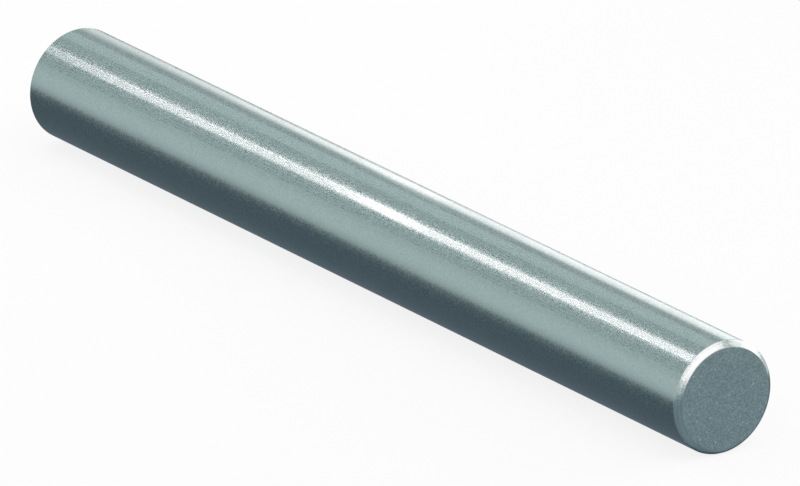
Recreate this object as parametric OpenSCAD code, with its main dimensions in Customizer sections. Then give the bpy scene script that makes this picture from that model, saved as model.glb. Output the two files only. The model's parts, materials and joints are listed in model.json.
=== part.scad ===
// Linear shaft: one round bar, ground along its length and chamfered at both ends.
// It lies along X on a level surface, with the origin under the middle of its length.

/* [Shaft] */
// Diameter of the ground surface that a bushing runs on
shaft_d = 15.875; // [10:0.005:80]
// Length from one end face to the other
shaft_l = 152.4; // [40:0.1:1200]

/* [Ends] */
// Width of each chamfer, measured along the radius
chamfer_w = 0.8; // [0.4:0.05:3]
// Angle of each chamfer to the shaft's axis
chamfer_angle = 45; // [30:1:60]
// Radius that breaks the two edges of each chamfer
edge_r = 0.15; // [0.05:0.01:0.3]

/* [Hidden] */

shaft_r = shaft_d / 2;
chamfer_l = chamfer_w / tan(chamfer_angle);
arc_steps = 4;
around = 144;

// Unit vector that points from p to q
function toward(p, q) = (q - p) / norm(q - p);

// Arc of radius r, tangent to both sides, that takes the place of corner b on the path a, b, c
function rounded(a, b, c, r) =
    let (
        to_a = toward(b, a),
        to_c = toward(b, c),
        half = acos(to_a * to_c) / 2,
        centre = b + toward([0, 0], to_a + to_c) * r / sin(half),
        first = b + to_a * r / tan(half),
        last = b + to_c * r / tan(half),
        start = atan2(first.y - centre.y, first.x - centre.x),
        stop = atan2(last.y - centre.y, last.x - centre.x)
    )
    [for (i = [0 : arc_steps])
        let (angle = start + (stop - start) * i / arc_steps)
        centre + r * [cos(angle), sin(angle)]];

// Half outline of the upper end, from the middle of its face out over the chamfer to the ground surface
function end_outline() =
    let (
        face_centre = [0, shaft_l / 2],
        face_edge = [shaft_r - chamfer_w, shaft_l / 2],
        barrel_edge = [shaft_r, shaft_l / 2 - chamfer_l],
        barrel_middle = [shaft_r, 0]
    )
    concat(
        [face_centre],
        rounded(face_centre, face_edge, barrel_edge, edge_r),
        rounded(face_edge, barrel_edge, barrel_middle, edge_r)
    );

// Whole half outline, the lower end being the upper one turned over
function shaft_outline() =
    let (
        upper = end_outline(),
        lower = [for (i = [len(upper) - 1 : -1 : 0]) [upper[i].x, -upper[i].y]]
    )
    concat(upper, lower);

// The bar, turned about its axis and laid down along X
module shaft() {
    color([0.6, 0.68, 0.67])
        translate([0, 0, shaft_r])
            rotate([0, 90, 0])
                rotate_extrude($fn = around)
                    polygon(shaft_outline());
}

shaft();
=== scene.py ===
import json
import math

import bmesh
import bpy
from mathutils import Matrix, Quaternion, Vector


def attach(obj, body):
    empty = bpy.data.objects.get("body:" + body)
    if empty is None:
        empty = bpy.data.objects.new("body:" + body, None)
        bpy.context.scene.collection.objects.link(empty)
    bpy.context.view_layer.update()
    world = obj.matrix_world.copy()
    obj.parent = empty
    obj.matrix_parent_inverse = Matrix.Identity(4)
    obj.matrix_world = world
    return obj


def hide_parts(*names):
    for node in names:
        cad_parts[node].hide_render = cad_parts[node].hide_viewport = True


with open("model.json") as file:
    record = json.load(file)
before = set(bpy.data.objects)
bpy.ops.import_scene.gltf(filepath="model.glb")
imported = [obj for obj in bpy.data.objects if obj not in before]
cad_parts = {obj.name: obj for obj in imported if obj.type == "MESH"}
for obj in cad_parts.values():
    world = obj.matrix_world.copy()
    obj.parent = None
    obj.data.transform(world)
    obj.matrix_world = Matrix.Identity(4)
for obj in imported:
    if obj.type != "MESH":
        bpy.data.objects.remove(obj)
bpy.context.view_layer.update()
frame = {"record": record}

mmPerMetre = 1000.0
tiny = 1e-6              # metres, for telling whether two places are one
plainWhite = (1.0, 1.0, 1.0, 1.0)


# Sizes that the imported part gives
def mountCalled(name):
    return next(m for m in frame["record"]["mounts"] if m["name"] == name)


barrelMount = mountCalled("bearing_surface")
endMount = mountCalled("end_face")
shaftRadius = barrelMount["dims"]["r_mm"] / mmPerMetre
axisHeight = barrelMount["pos_m"][2]
halfLength = endMount["pos_m"][0]


# Small helpers
def deselectAll():
    bpy.ops.object.select_all(action="DESELECT")


def selectWhere(piece, kind, wanted):
    # kind is "EDGE" or "FACE"; wanted says yes or no for each one
    bpy.ops.mesh.select_mode(type=kind)
    bpy.ops.mesh.select_all(action="DESELECT")
    mesh = bmesh.from_edit_mesh(piece.data)
    for part in (mesh.edges if kind == "EDGE" else mesh.faces):
        if wanted(part):
            part.select_set(True)
    bmesh.update_edit_mesh(piece.data)


def addNode(tree, kind, settings=None, inputs=None):
    node = tree.nodes.new(kind)
    for name, value in (settings or {}).items():
        setattr(node, name, value)
    for name, value in (inputs or {}).items():
        node.inputs[name].default_value = value
    return node


def join(tree, source, target):
    tree.links.new(source, target)


# Shaft: one bar, modelled new so that its barrel and its edge breaks are smooth
shaftPiece = {
    "sides": 256,
    "chamfer": 0.0008,        # width of each 45 degree chamfer
    "edgeBreak": 0.00015,     # radius on both edges of each chamfer
    "edgeTurn": 45,           # degrees that the surface turns at each of these edges
    "edgeSteps": 5,           # rings of faces in each edge break
    "bays": 12,               # rings of faces along the barrel
    "faceRings": (0.0002, 0.0020, 0.0020),   # margins inset into each end face
    "largeFaces": 100,        # weight of large faces in the shading, 50 is neutral
}


def modelShaft():
    print("shaft: turning the bar")
    deselectAll()
    bpy.ops.mesh.primitive_cylinder_add(
        vertices=shaftPiece["sides"], radius=shaftRadius, depth=2 * halfLength,
        end_fill_type="NGON", location=(0, 0, axisHeight), rotation=(0, math.pi / 2, 0))
    piece = bpy.context.object
    piece.name = "ground_shaft"
    bpy.ops.object.transform_apply(location=True, rotation=True, scale=True)
    bpy.ops.object.mode_set(mode="EDIT")
    chamferStart = halfLength - shaftPiece["chamfer"]

    def ringBeyond(edge, reach):
        # edges that run round the bar, at either end, further out than reach
        a, b = edge.verts
        return abs(a.co.x - b.co.x) < tiny and abs(a.co.x) > reach - tiny

    def isEndFace(face):
        return len(face.verts) == shaftPiece["sides"]

    # chamfers
    selectWhere(piece, "EDGE", lambda e: ringBeyond(e, halfLength))
    bpy.ops.mesh.bevel(offset=shaftPiece["chamfer"], offset_type="OFFSET", segments=1, affect="EDGES")

    # edge breaks, both edges of both chamfers
    selectWhere(piece, "EDGE", lambda e: ringBeyond(e, chamferStart))
    tangent = shaftPiece["edgeBreak"] * math.tan(math.radians(shaftPiece["edgeTurn"]) / 2)
    bpy.ops.mesh.bevel(offset=tangent, offset_type="OFFSET", segments=shaftPiece["edgeSteps"],
                       profile=0.5, affect="EDGES")

    # end faces in rings, with a fan in the middle
    for margin in shaftPiece["faceRings"]:
        selectWhere(piece, "FACE", isEndFace)
        bpy.ops.mesh.inset(thickness=margin)
    selectWhere(piece, "FACE", isEndFace)
    bpy.ops.mesh.poke()

    # bays along the barrel
    selectWhere(piece, "EDGE", lambda e: abs(e.verts[0].co.x - e.verts[1].co.x) > halfLength)
    bpy.ops.mesh.subdivide(number_cuts=shaftPiece["bays"] - 1)

    bpy.ops.mesh.select_all(action="SELECT")
    bpy.ops.mesh.normals_make_consistent(inside=False)
    bpy.ops.object.mode_set(mode="OBJECT")
    bpy.ops.object.shade_smooth()
    flatter = piece.modifiers.new("flatter", "WEIGHTED_NORMAL")
    flatter.weight = shaftPiece["largeFaces"]
    bpy.ops.object.modifier_apply(modifier=flatter.name)
    return piece


def paintShaft(piece, steels):
    # steels are the materials of barrel, chamfers and end faces, in that order
    print("shaft: finishing its surfaces")
    for steel in steels:
        piece.data.materials.append(steel)
    barrelEnd = halfLength - shaftPiece["chamfer"] - shaftPiece["edgeBreak"]
    bpy.ops.object.mode_set(mode="EDIT")

    def zone(face):
        reach = abs(face.calc_center_median().x)
        if reach > halfLength - tiny:
            return 2
        return 1 if reach > barrelEnd else 0

    for index in range(len(steels)):
        selectWhere(piece, "FACE", lambda f: zone(f) == index)
        piece.active_material_index = index
        bpy.ops.object.material_slot_assign()
    bpy.ops.object.mode_set(mode="OBJECT")


# Node groups that the steel materials share; each material sets the groups' inputs
grainPattern = {
    "paintedGlints": (0.985, 0.995),    # painted glints: grains drawn above the first are painted brighter, fully from the second, as if they caught the light
    "patchScale": 180.0,         # patches in a metre
    "patchDetail": 4.0,
    "patchRoughness": 0.6,
}
marksPattern = {
    "detail": 2.0,
    "roughness": 0.5,
}


def groupSocket(group, name, inOut, kind, value=None):
    socket = group.interface.new_socket(name=name, in_out=inOut, socket_type="NodeSocket" + kind)
    if value is not None:
        socket.default_value = value


def buildGrainGroup():
    # crystal grain of the steel: every small cell leans its own way and has its own value
    print("steel: grain")
    group = bpy.data.node_groups.new("metalGrain", "ShaderNodeTree")
    groupSocket(group, "Vector", "INPUT", "Vector")
    groupSocket(group, "Grains per mm", "INPUT", "Float", 6.0)
    groupSocket(group, "Lean", "INPUT", "Float", 0.05)
    groupSocket(group, "Normal", "OUTPUT", "Vector")
    groupSocket(group, "Cell", "OUTPUT", "Float")
    groupSocket(group, "Painted Glint", "OUTPUT", "Float")
    groupSocket(group, "Mottle", "OUTPUT", "Float")
    start = addNode(group, "NodeGroupInput")
    end = addNode(group, "NodeGroupOutput")

    perMetre = addNode(group, "ShaderNodeMath", {"operation": "MULTIPLY"}, {1: mmPerMetre})
    join(group, start.outputs["Grains per mm"], perMetre.inputs[0])
    cells = addNode(group, "ShaderNodeTexVoronoi", {"feature": "F1"})
    join(group, start.outputs["Vector"], cells.inputs["Vector"])
    join(group, perMetre.outputs[0], cells.inputs["Scale"])

    # a cell's colour is its draw, from 0 to 1 on each axis; less a half, it leans both ways
    random = addNode(group, "ShaderNodeVectorMath", {"operation": "SUBTRACT"}, {1: (0.5, 0.5, 0.5)})
    join(group, cells.outputs["Color"], random.inputs[0])
    lean = addNode(group, "ShaderNodeVectorMath", {"operation": "SCALE"})
    join(group, random.outputs[0], lean.inputs[0])
    join(group, start.outputs["Lean"], lean.inputs["Scale"])
    surface = addNode(group, "ShaderNodeNewGeometry")
    leant = addNode(group, "ShaderNodeVectorMath", {"operation": "ADD"})
    join(group, surface.outputs["Normal"], leant.inputs[0])
    join(group, lean.outputs[0], leant.inputs[1])
    unit = addNode(group, "ShaderNodeVectorMath", {"operation": "NORMALIZE"})
    join(group, leant.outputs[0], unit.inputs[0])
    join(group, unit.outputs[0], end.inputs["Normal"])

    draw = addNode(group, "ShaderNodeSeparateColor")
    join(group, cells.outputs["Color"], draw.inputs["Color"])
    join(group, draw.outputs["Red"], end.inputs["Cell"])
    # the rarest draws mark the grains that get a painted glint
    glintFrom, glintTo = grainPattern["paintedGlints"]
    paintedGlint = addNode(group, "ShaderNodeMapRange", None, {"From Min": glintFrom, "From Max": glintTo})
    join(group, draw.outputs["Green"], paintedGlint.inputs["Value"])
    join(group, paintedGlint.outputs[0], end.inputs["Painted Glint"])

    patches = addNode(group, "ShaderNodeTexNoise", None, {
        "Scale": grainPattern["patchScale"],
        "Detail": grainPattern["patchDetail"],
        "Roughness": grainPattern["patchRoughness"]})
    join(group, start.outputs["Vector"], patches.inputs["Vector"])
    join(group, patches.outputs["Fac"], end.inputs["Mottle"])
    return group


def buildMarksGroup():
    # fine parallel marks: noise that is drawn out along them, where Squeeze is small
    print("steel: marks")
    group = bpy.data.node_groups.new("finishMarks", "ShaderNodeTree")
    groupSocket(group, "Vector", "INPUT", "Vector")
    groupSocket(group, "Squeeze", "INPUT", "Vector", (1.0, 0.05, 0.05))
    groupSocket(group, "Marks per mm", "INPUT", "Float", 8.0)
    groupSocket(group, "Height", "OUTPUT", "Float")
    start = addNode(group, "NodeGroupInput")
    end = addNode(group, "NodeGroupOutput")

    squeezed = addNode(group, "ShaderNodeVectorMath", {"operation": "MULTIPLY"})
    join(group, start.outputs["Vector"], squeezed.inputs[0])
    join(group, start.outputs["Squeeze"], squeezed.inputs[1])
    perMetre = addNode(group, "ShaderNodeMath", {"operation": "MULTIPLY"}, {1: mmPerMetre})
    join(group, start.outputs["Marks per mm"], perMetre.inputs[0])
    marks = addNode(group, "ShaderNodeTexNoise", None, {
        "Detail": marksPattern["detail"],
        "Roughness": marksPattern["roughness"]})
    join(group, squeezed.outputs[0], marks.inputs["Vector"])
    join(group, perMetre.outputs[0], marks.inputs["Scale"])
    join(group, marks.outputs["Fac"], end.inputs["Height"])
    return group


# Steel finishes. Each pair is the value at the dullest and at the brightest grain.
# lean is how far the grains tilt, and mottle how far the roughness wanders in patches.
# squeeze draws the marks out on the axes where it is small, inRings lays them in rings about the
# axis instead, markDepth is in metres, and streaks is how far the colour follows the marks. The last
# colour paints glints: a few grains painted brighter, as if they caught the light.
barrelFinish = {
    "grainsPerMm": 6.0,
    "lean": 0.02,
    "marksPerMm": 9.0,
    "markDepth": 0.000001,
    "squeeze": (1.0, 0.05, 0.05),
    "inRings": False,
    "streaks": 0.0,
    "roughness": (0.112, 0.287),
    "mottle": 0.03,
    "colours": ((0.281, 0.374, 0.368, 1.0), (0.339, 0.448, 0.443, 1.0)),
    "paintedGlint": (0.31, 0.411, 0.406, 1.0),
}
chamferFinish = {
    "grainsPerMm": 6.0,
    "lean": 0.08,
    "marksPerMm": 3.5,
    "markDepth": 0.000006,
    "squeeze": (1.0, 0.05, 0.05),
    "inRings": False,
    "streaks": 0.8,
    "roughness": (0.16, 0.26),
    "mottle": 0.0,
    "colours": ((0.27, 0.35, 0.34, 1.0), (0.38, 0.49, 0.48, 1.0)),
    "paintedGlint": (0.38, 0.49, 0.48, 1.0),
}
faceFinish = {
    "grainsPerMm": 5.0,
    "lean": 0.1,
    "marksPerMm": 7.0,
    "markDepth": 0.000001,
    "squeeze": (1.0, 1.0, 1.0),
    "inRings": True,
    "streaks": 0.0,
    "roughness": (0.36, 0.46),
    "mottle": 0.03,
    "colours": ((0.267, 0.364, 0.361, 1.0), (0.349, 0.466, 0.465, 1.0)),
    "paintedGlint": (0.50, 0.66, 0.66, 1.0),
}
# heights that most marks and most patches lie between, stretched over the whole of each effect
usualMarks = (0.35, 0.65)
usualPatches = (0.3, 0.7)


def steelMaterial(name, finish, groups):
    print("steel:", name)
    material = bpy.data.materials.new(name)
    material.use_nodes = True
    tree = material.node_tree
    shader = tree.nodes["Principled BSDF"]
    shader.inputs["Metallic"].default_value = 1.0

    place = addNode(tree, "ShaderNodeTexCoord")
    centred = addNode(tree, "ShaderNodeMapping", {"vector_type": "POINT"},
                      {"Location": (0, 0, -axisHeight)})
    join(tree, place.outputs["Object"], centred.inputs["Vector"])

    grain = addNode(tree, "ShaderNodeGroup", {"node_tree": groups["grain"]},
                    {"Grains per mm": finish["grainsPerMm"], "Lean": finish["lean"]})
    join(tree, centred.outputs[0], grain.inputs["Vector"])
    marks = addNode(tree, "ShaderNodeGroup", {"node_tree": groups["marks"]},
                    {"Marks per mm": finish["marksPerMm"], "Squeeze": finish["squeeze"]})
    if finish["inRings"]:
        # the marks read the distance from the axis alone, as a facing tool leaves them
        flat = addNode(tree, "ShaderNodeVectorMath", {"operation": "MULTIPLY"}, {1: (0, 1, 1)})
        join(tree, centred.outputs[0], flat.inputs[0])
        radius = addNode(tree, "ShaderNodeVectorMath", {"operation": "LENGTH"})
        join(tree, flat.outputs[0], radius.inputs[0])
        along = addNode(tree, "ShaderNodeCombineXYZ")
        join(tree, radius.outputs["Value"], along.inputs["X"])
        join(tree, along.outputs[0], marks.inputs["Vector"])
    else:
        join(tree, centred.outputs[0], marks.inputs["Vector"])

    dull, bright = finish["colours"]
    tint = addNode(tree, "ShaderNodeMix", {"data_type": "RGBA"})
    tint.inputs["A"].default_value = dull
    tint.inputs["B"].default_value = bright
    streaks = addNode(tree, "ShaderNodeMapRange", None,
                      {"From Min": usualMarks[0], "From Max": usualMarks[1]})
    join(tree, marks.outputs["Height"], streaks.inputs["Value"])
    tone = addNode(tree, "ShaderNodeMix", {"data_type": "FLOAT"}, {"Factor": finish["streaks"]})
    join(tree, grain.outputs["Cell"], tone.inputs["A"])
    join(tree, streaks.outputs[0], tone.inputs["B"])
    join(tree, tone.outputs["Result"], tint.inputs["Factor"])
    # painted glints: the few grains drawn for them take the brighter glint colour
    paintedGlints = addNode(tree, "ShaderNodeMix", {"data_type": "RGBA"})
    paintedGlints.inputs["B"].default_value = finish["paintedGlint"]
    join(tree, grain.outputs["Painted Glint"], paintedGlints.inputs["Factor"])
    join(tree, tint.outputs["Result"], paintedGlints.inputs["A"])
    join(tree, paintedGlints.outputs["Result"], shader.inputs["Base Color"])

    smooth, coarse = finish["roughness"]
    rough = addNode(tree, "ShaderNodeMapRange", None, {"To Min": smooth, "To Max": coarse})
    join(tree, grain.outputs["Cell"], rough.inputs["Value"])
    patches = addNode(tree, "ShaderNodeMapRange", None, {
        "From Min": usualPatches[0], "From Max": usualPatches[1],
        "To Min": -finish["mottle"], "To Max": finish["mottle"]})
    join(tree, grain.outputs["Mottle"], patches.inputs["Value"])
    uneven = addNode(tree, "ShaderNodeMath", {"operation": "ADD"})
    join(tree, rough.outputs[0], uneven.inputs[0])
    join(tree, patches.outputs[0], uneven.inputs[1])
    join(tree, uneven.outputs[0], shader.inputs["Roughness"])

    lay = addNode(tree, "ShaderNodeBump", None, {"Distance": finish["markDepth"]})
    join(tree, marks.outputs["Height"], lay.inputs["Height"])
    join(tree, grain.outputs["Normal"], lay.inputs["Normal"])
    join(tree, lay.outputs["Normal"], shader.inputs["Normal"])
    return material


# Floor, world and lamps
studio = {
    "floorSize": 20.0,
    "floorColour": (0.82, 0.9, 0.9, 1.0),
    "floorLift": 0.85,             # share of plain white in what camera and metal see of the floor
    "worldLevel": 0.7,
    "cardHeight": 0.00005,         # metres that the flat cards lie above the floor
}

# A band is the range of angles about the shaft that a panel fills, in degrees from level in
# front (-Y) over the top, and distance is how far it stands from the axis. Any other panel has
# its own place, aim and size. along is a panel's reach in X, and turn is how far it is turned
# in its own plane, in degrees. level is how bright a lamp looks, where 1 is white.
warm = (1.0, 0.72, 0.74)
softWarm = (1.0, 0.83, 0.84)
redWarm = (1.0, 0.66, 0.68)
shaftEnd = (0.0758, 0, 0.0079)     # middle of the end in front, which two lamps face
lamps = {
    "lowTube": {"band": (64.8, 66.6), "distance": 0.12, "along": (-0.215, -0.02), "turn": 3.2,
                "level": 6.5, "colour": warm},
    "middleTube": {"band": (70.4, 72.2), "distance": 0.12, "along": (-0.215, -0.02), "turn": 3.2,
                   "level": 5.1, "colour": warm},
    "halfTube": {"band": (70.4, 72.2), "distance": 0.12, "along": (-0.165, -0.02), "turn": 3.2,
                 "level": 1.7, "colour": warm},
    "highTube": {"band": (75.8, 77.6), "distance": 0.12, "along": (-0.215, -0.02), "turn": 3.2,
                 "level": 6.7, "colour": warm},
    "nearTube": {"band": (65, 77), "distance": 0.12, "along": (-0.122, -0.02), "turn": 0,
                 "level": 0.33, "colour": warm},
    "spotLamp": {"band": (61.5, 77.5), "distance": 0.048, "along": (-0.049, -0.038), "turn": 0,
                 "level": 2.5, "colour": warm},
    "rimLamp": {"band": (140, 180), "distance": 0.09, "along": (-0.112, -0.097), "turn": 0,
                "level": 0.5, "colour": softWarm},
    "backLamp": {"band": (155, 188), "distance": 0.8, "along": (-1.03, 1.3), "turn": 0,
                 "level": 0.86, "colour": softWarm},
    "frontLamp": {"place": (0.567, -0.087, 0.567), "aim": shaftEnd, "size": (1.4, 0.36),
                  "turn": 32.9, "level": 2.1, "colour": redWarm},
    "topLamp": {"place": (0.125, 0.688, 0.311), "aim": shaftEnd, "size": (0.634, 0.34),
                "turn": -56.7, "level": 1.75, "colour": warm},
}

# Glowing cards that only the metal mirrors, as painted reflections: the dark ones paint the shade
# that the steel's lower half and its ends reflect, and the light ones paint bright bands and
# highlights. Flat ones lie on the floor between two corners, and the rest in bands as the lamps are.
# tones are a card's colours on the way to its +Y side, each with its place there from 0 to 1, and a
# frame has slats in place of tones, light ones on dark.
# painted shade: the dark tone that the cards under and behind the shaft give the steel's reflection
reflectedShadeTone = (0.158, 0.187, 0.222, 1.0)
endTone = (0.36, 0.405, 0.455, 1.0)
cards = {
    "underCard": {"corners": ((-0.45, -0.24), (0.0757, 0.04)),
                  "tones": ((0.0, (0.97, 0.97, 0.97, 1.0)), (0.43, (0.90, 0.90, 0.90, 1.0)),
                            (0.64, (0.84, 0.84, 0.84, 1.0)), (0.705, (0.64, 0.65, 0.66, 1.0)),
                            (0.745, (0.26, 0.28, 0.30, 1.0)), (0.79, reflectedShadeTone))},
    "farCard": {"corners": ((-0.45, 0.05), (-0.105, 0.098)),
                "tones": ((0.0, reflectedShadeTone),)},
    "backCard": {"corners": ((-0.105, 0.05), (0.03, 0.098)),
                 "tones": ((0.0, (0.5, 0.51, 0.52, 1.0)),)},
    "lowRimCard": {"band": (176, 184), "distance": 0.12, "along": (-0.125, -0.05),
                   "tones": ((0.0, (1.7, 1.64, 1.64, 1.0)),)},
    "endCard": {"corners": ((0.0757, -0.35), (0.4, 0.12)),
                "tones": ((0.0, endTone),)},
    "frontFrame": {"band": (25, 37), "distance": 0.6, "along": (-1.35, -0.3),
                   "slats": 2, "dark": (0.84, 0.84, 0.84, 1.0), "light": (0.98, 0.98, 0.98, 1.0)},
    "stripFrame": {"band": (37, 108), "distance": 0.6, "along": (-1.35, -0.3),
                   "slats": 11, "dark": (0.15, 0.18, 0.18, 1.0), "light": (1.305, 1.34, 1.34, 1.0)},
    "topFrame": {"band": (108, 134), "distance": 0.6, "along": (-1.35, -0.3),
                 "slats": 4, "dark": (0.34, 0.35, 0.35, 1.0), "light": (1.57, 1.60, 1.60, 1.0)},
    "backFrame": {"band": (134, 152), "distance": 0.6, "along": (-1.35, -0.3),
                  "slats": 4, "dark": (0.28, 0.30, 0.30, 1.0), "light": (0.86, 0.92, 0.92, 1.0)},
}
bandsPerScale = 10 / math.pi       # bands that a Wave Texture of scale 1 lays on a card


def placed(settings):
    # middle, the point to face and the two sides of a lamp or a card
    if "corners" in settings:
        (x0, y0), (x1, y1) = settings["corners"]
        middle = Vector(((x0 + x1) / 2, (y0 + y1) / 2, studio["cardHeight"]))
        return middle, middle - Vector((0, 0, 1)), (x1 - x0, y1 - y0)
    if "band" in settings:
        first, last = (math.radians(angle) for angle in settings["band"])
        x0, x1 = settings["along"]
        axis = Vector(((x0 + x1) / 2, 0, axisHeight))
        out = Vector((0, -math.cos((first + last) / 2), math.sin((first + last) / 2)))
        width = 2 * settings["distance"] * math.tan((last - first) / 2)
        return axis + out * settings["distance"], axis, (x1 - x0, width)
    return Vector(settings["place"]), Vector(settings["aim"]), settings["size"]


def facing(thing, place, aim, turn=0):
    thing.location = place
    turned = Quaternion((0, 0, 1), math.radians(turn))
    thing.rotation_euler = ((aim - place).to_track_quat("-Z", "Y") @ turned).to_euler()


def seenDirectly(tree):
    # 1 for rays from the camera or off metal and glass, so that all of them see the same white
    path = addNode(tree, "ShaderNodeLightPath")
    first = addNode(tree, "ShaderNodeMath", {"operation": "MAXIMUM"})
    second = addNode(tree, "ShaderNodeMath", {"operation": "MAXIMUM"})
    join(tree, path.outputs["Is Camera Ray"], first.inputs[0])
    join(tree, path.outputs["Is Glossy Ray"], first.inputs[1])
    join(tree, first.outputs[0], second.inputs[0])
    join(tree, path.outputs["Is Transmission Ray"], second.inputs[1])
    return second.outputs[0]


def buildWorld():
    print("studio: world")
    world = bpy.data.worlds.new("studioWorld")
    bpy.context.scene.world = world
    world.use_nodes = True
    tree = world.node_tree
    tree.nodes.clear()
    out = addNode(tree, "ShaderNodeOutputWorld")
    lighting = addNode(tree, "ShaderNodeBackground", None,
                       {"Color": plainWhite, "Strength": studio["worldLevel"]})
    white = addNode(tree, "ShaderNodeBackground", None, {"Color": plainWhite, "Strength": 1.0})
    mix = addNode(tree, "ShaderNodeMixShader")
    join(tree, seenDirectly(tree), mix.inputs[0])
    join(tree, lighting.outputs[0], mix.inputs[1])
    join(tree, white.outputs[0], mix.inputs[2])
    join(tree, mix.outputs[0], out.inputs["Surface"])


def floorMaterial():
    material = bpy.data.materials.new("paleFloor")
    material.use_nodes = True
    tree = material.node_tree
    shader = tree.nodes["Principled BSDF"]
    shader.inputs["Base Color"].default_value = studio["floorColour"]
    shader.inputs["Roughness"].default_value = 1.0
    shader.inputs["Specular IOR Level"].default_value = 0.0
    white = addNode(tree, "ShaderNodeEmission", None, {"Color": plainWhite, "Strength": 1.0})
    share = addNode(tree, "ShaderNodeMath", {"operation": "MULTIPLY"}, {1: studio["floorLift"]})
    join(tree, seenDirectly(tree), share.inputs[0])
    mix = addNode(tree, "ShaderNodeMixShader")
    join(tree, share.outputs[0], mix.inputs[0])
    join(tree, shader.outputs[0], mix.inputs[1])
    join(tree, white.outputs[0], mix.inputs[2])
    join(tree, mix.outputs[0], tree.nodes["Material Output"].inputs["Surface"])
    return material


def buildFloor():
    print("studio: floor")
    deselectAll()
    bpy.ops.mesh.primitive_plane_add(size=studio["floorSize"])
    floor = bpy.context.object
    floor.name = "floor"
    floor.data.materials.append(floorMaterial())


def cardMaterial(name, settings):
    material = bpy.data.materials.new(name)
    material.use_nodes = True
    tree = material.node_tree
    tree.nodes.clear()
    out = addNode(tree, "ShaderNodeOutputMaterial")
    glow = addNode(tree, "ShaderNodeEmission", None, {"Strength": 1.0})
    place = addNode(tree, "ShaderNodeTexCoord")
    if "slats" in settings:
        slats = addNode(tree, "ShaderNodeTexWave", {"bands_direction": "Y"},
                        {"Scale": settings["slats"] / bandsPerScale})
        join(tree, place.outputs["Object"], slats.inputs["Vector"])
        mix = addNode(tree, "ShaderNodeMix", {"data_type": "RGBA"})
        mix.inputs["A"].default_value = settings["dark"]
        mix.inputs["B"].default_value = settings["light"]
        join(tree, slats.outputs["Fac"], mix.inputs["Factor"])
        join(tree, mix.outputs["Result"], glow.inputs["Color"])
    elif len(settings["tones"]) > 1:
        split = addNode(tree, "ShaderNodeSeparateXYZ")
        join(tree, place.outputs["Object"], split.inputs[0])
        # a card's own Y runs from -0.5 to 0.5, and the ramp from 0 to 1
        across = addNode(tree, "ShaderNodeMath", {"operation": "ADD"}, {1: 0.5})
        join(tree, split.outputs["Y"], across.inputs[0])
        ramp = addNode(tree, "ShaderNodeValToRGB")
        stops = ramp.color_ramp.elements
        while len(stops) < len(settings["tones"]):
            stops.new(1.0)
        for stop, (where, colour) in zip(stops, settings["tones"]):
            stop.position = where
            stop.color = colour
        join(tree, across.outputs[0], ramp.inputs["Fac"])
        join(tree, ramp.outputs["Color"], glow.inputs["Color"])
    else:
        glow.inputs["Color"].default_value = settings["tones"][0][1]
    join(tree, glow.outputs[0], out.inputs["Surface"])
    return material


def buildCards():
    print("studio: cards")
    for name, settings in cards.items():
        deselectAll()
        bpy.ops.mesh.primitive_plane_add(size=1)
        card = bpy.context.object
        card.name = name
        place, aim, size = placed(settings)
        card.scale = (*size, 1)
        facing(card, place, aim)
        card.data.materials.append(cardMaterial(name, settings))
        # it is only mirrored, a glowing sheet of painted reflection: it neither shows nor lights nor
        # shades anything
        card.visible_camera = False
        card.visible_diffuse = False
        card.visible_shadow = False
        card.visible_transmission = False


def buildLamps():
    print("studio: lamps")
    for name, settings in lamps.items():
        place, aim, size = placed(settings)
        data = bpy.data.lights.new(name, "AREA")
        data.shape = "RECTANGLE"
        data.size = size[0]
        data.size_y = size[1]
        data.energy = settings["level"] * math.pi * data.size * data.size_y
        data.color = settings["colour"]
        holder = bpy.data.objects.new(name, data)
        bpy.context.scene.collection.objects.link(holder)
        facing(holder, place, aim, settings["turn"])
        holder.visible_camera = False


# Camera at the photograph's viewing angle
view = {
    "azimuth": 54.83,         # degrees, from -Y round to +X
    "elevation": 20.06,
    "distance": 3.0468,
    "lens": 1016.9,           # millimetres, as is the sensor's width
    "sensor": 36.0,
    "aim": (0.00071, 0.00054, 0.0072),
    "clipStart": 0.1,
    "clipEnd": 100.0,
}


def buildCamera():
    print("camera")
    data = bpy.data.cameras.new("camera")
    data.lens = view["lens"]
    data.sensor_width = view["sensor"]
    data.clip_start = view["clipStart"]
    data.clip_end = view["clipEnd"]
    camera = bpy.data.objects.new("camera", data)
    bpy.context.scene.collection.objects.link(camera)
    around = math.radians(view["azimuth"])
    up = math.radians(view["elevation"])
    back = Vector((math.sin(around) * math.cos(up), -math.cos(around) * math.cos(up), math.sin(up)))
    camera.location = Vector(view["aim"]) + back * view["distance"]
    camera.rotation_euler = (-back).to_track_quat("-Z", "Y").to_euler()
    bpy.context.scene.camera = camera


buildCamera()
shaft = modelShaft()
groups = {"grain": buildGrainGroup(), "marks": buildMarksGroup()}
paintShaft(shaft, [
    steelMaterial("groundBarrel", barrelFinish, groups),
    steelMaterial("turnedChamfer", chamferFinish, groups),
    steelMaterial("facedEnd", faceFinish, groups),
])
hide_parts("shaft")
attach(shaft, "root")

buildWorld()
buildFloor()
buildCards()
buildLamps()
bpy.context.scene.view_settings.view_transform = "Standard"
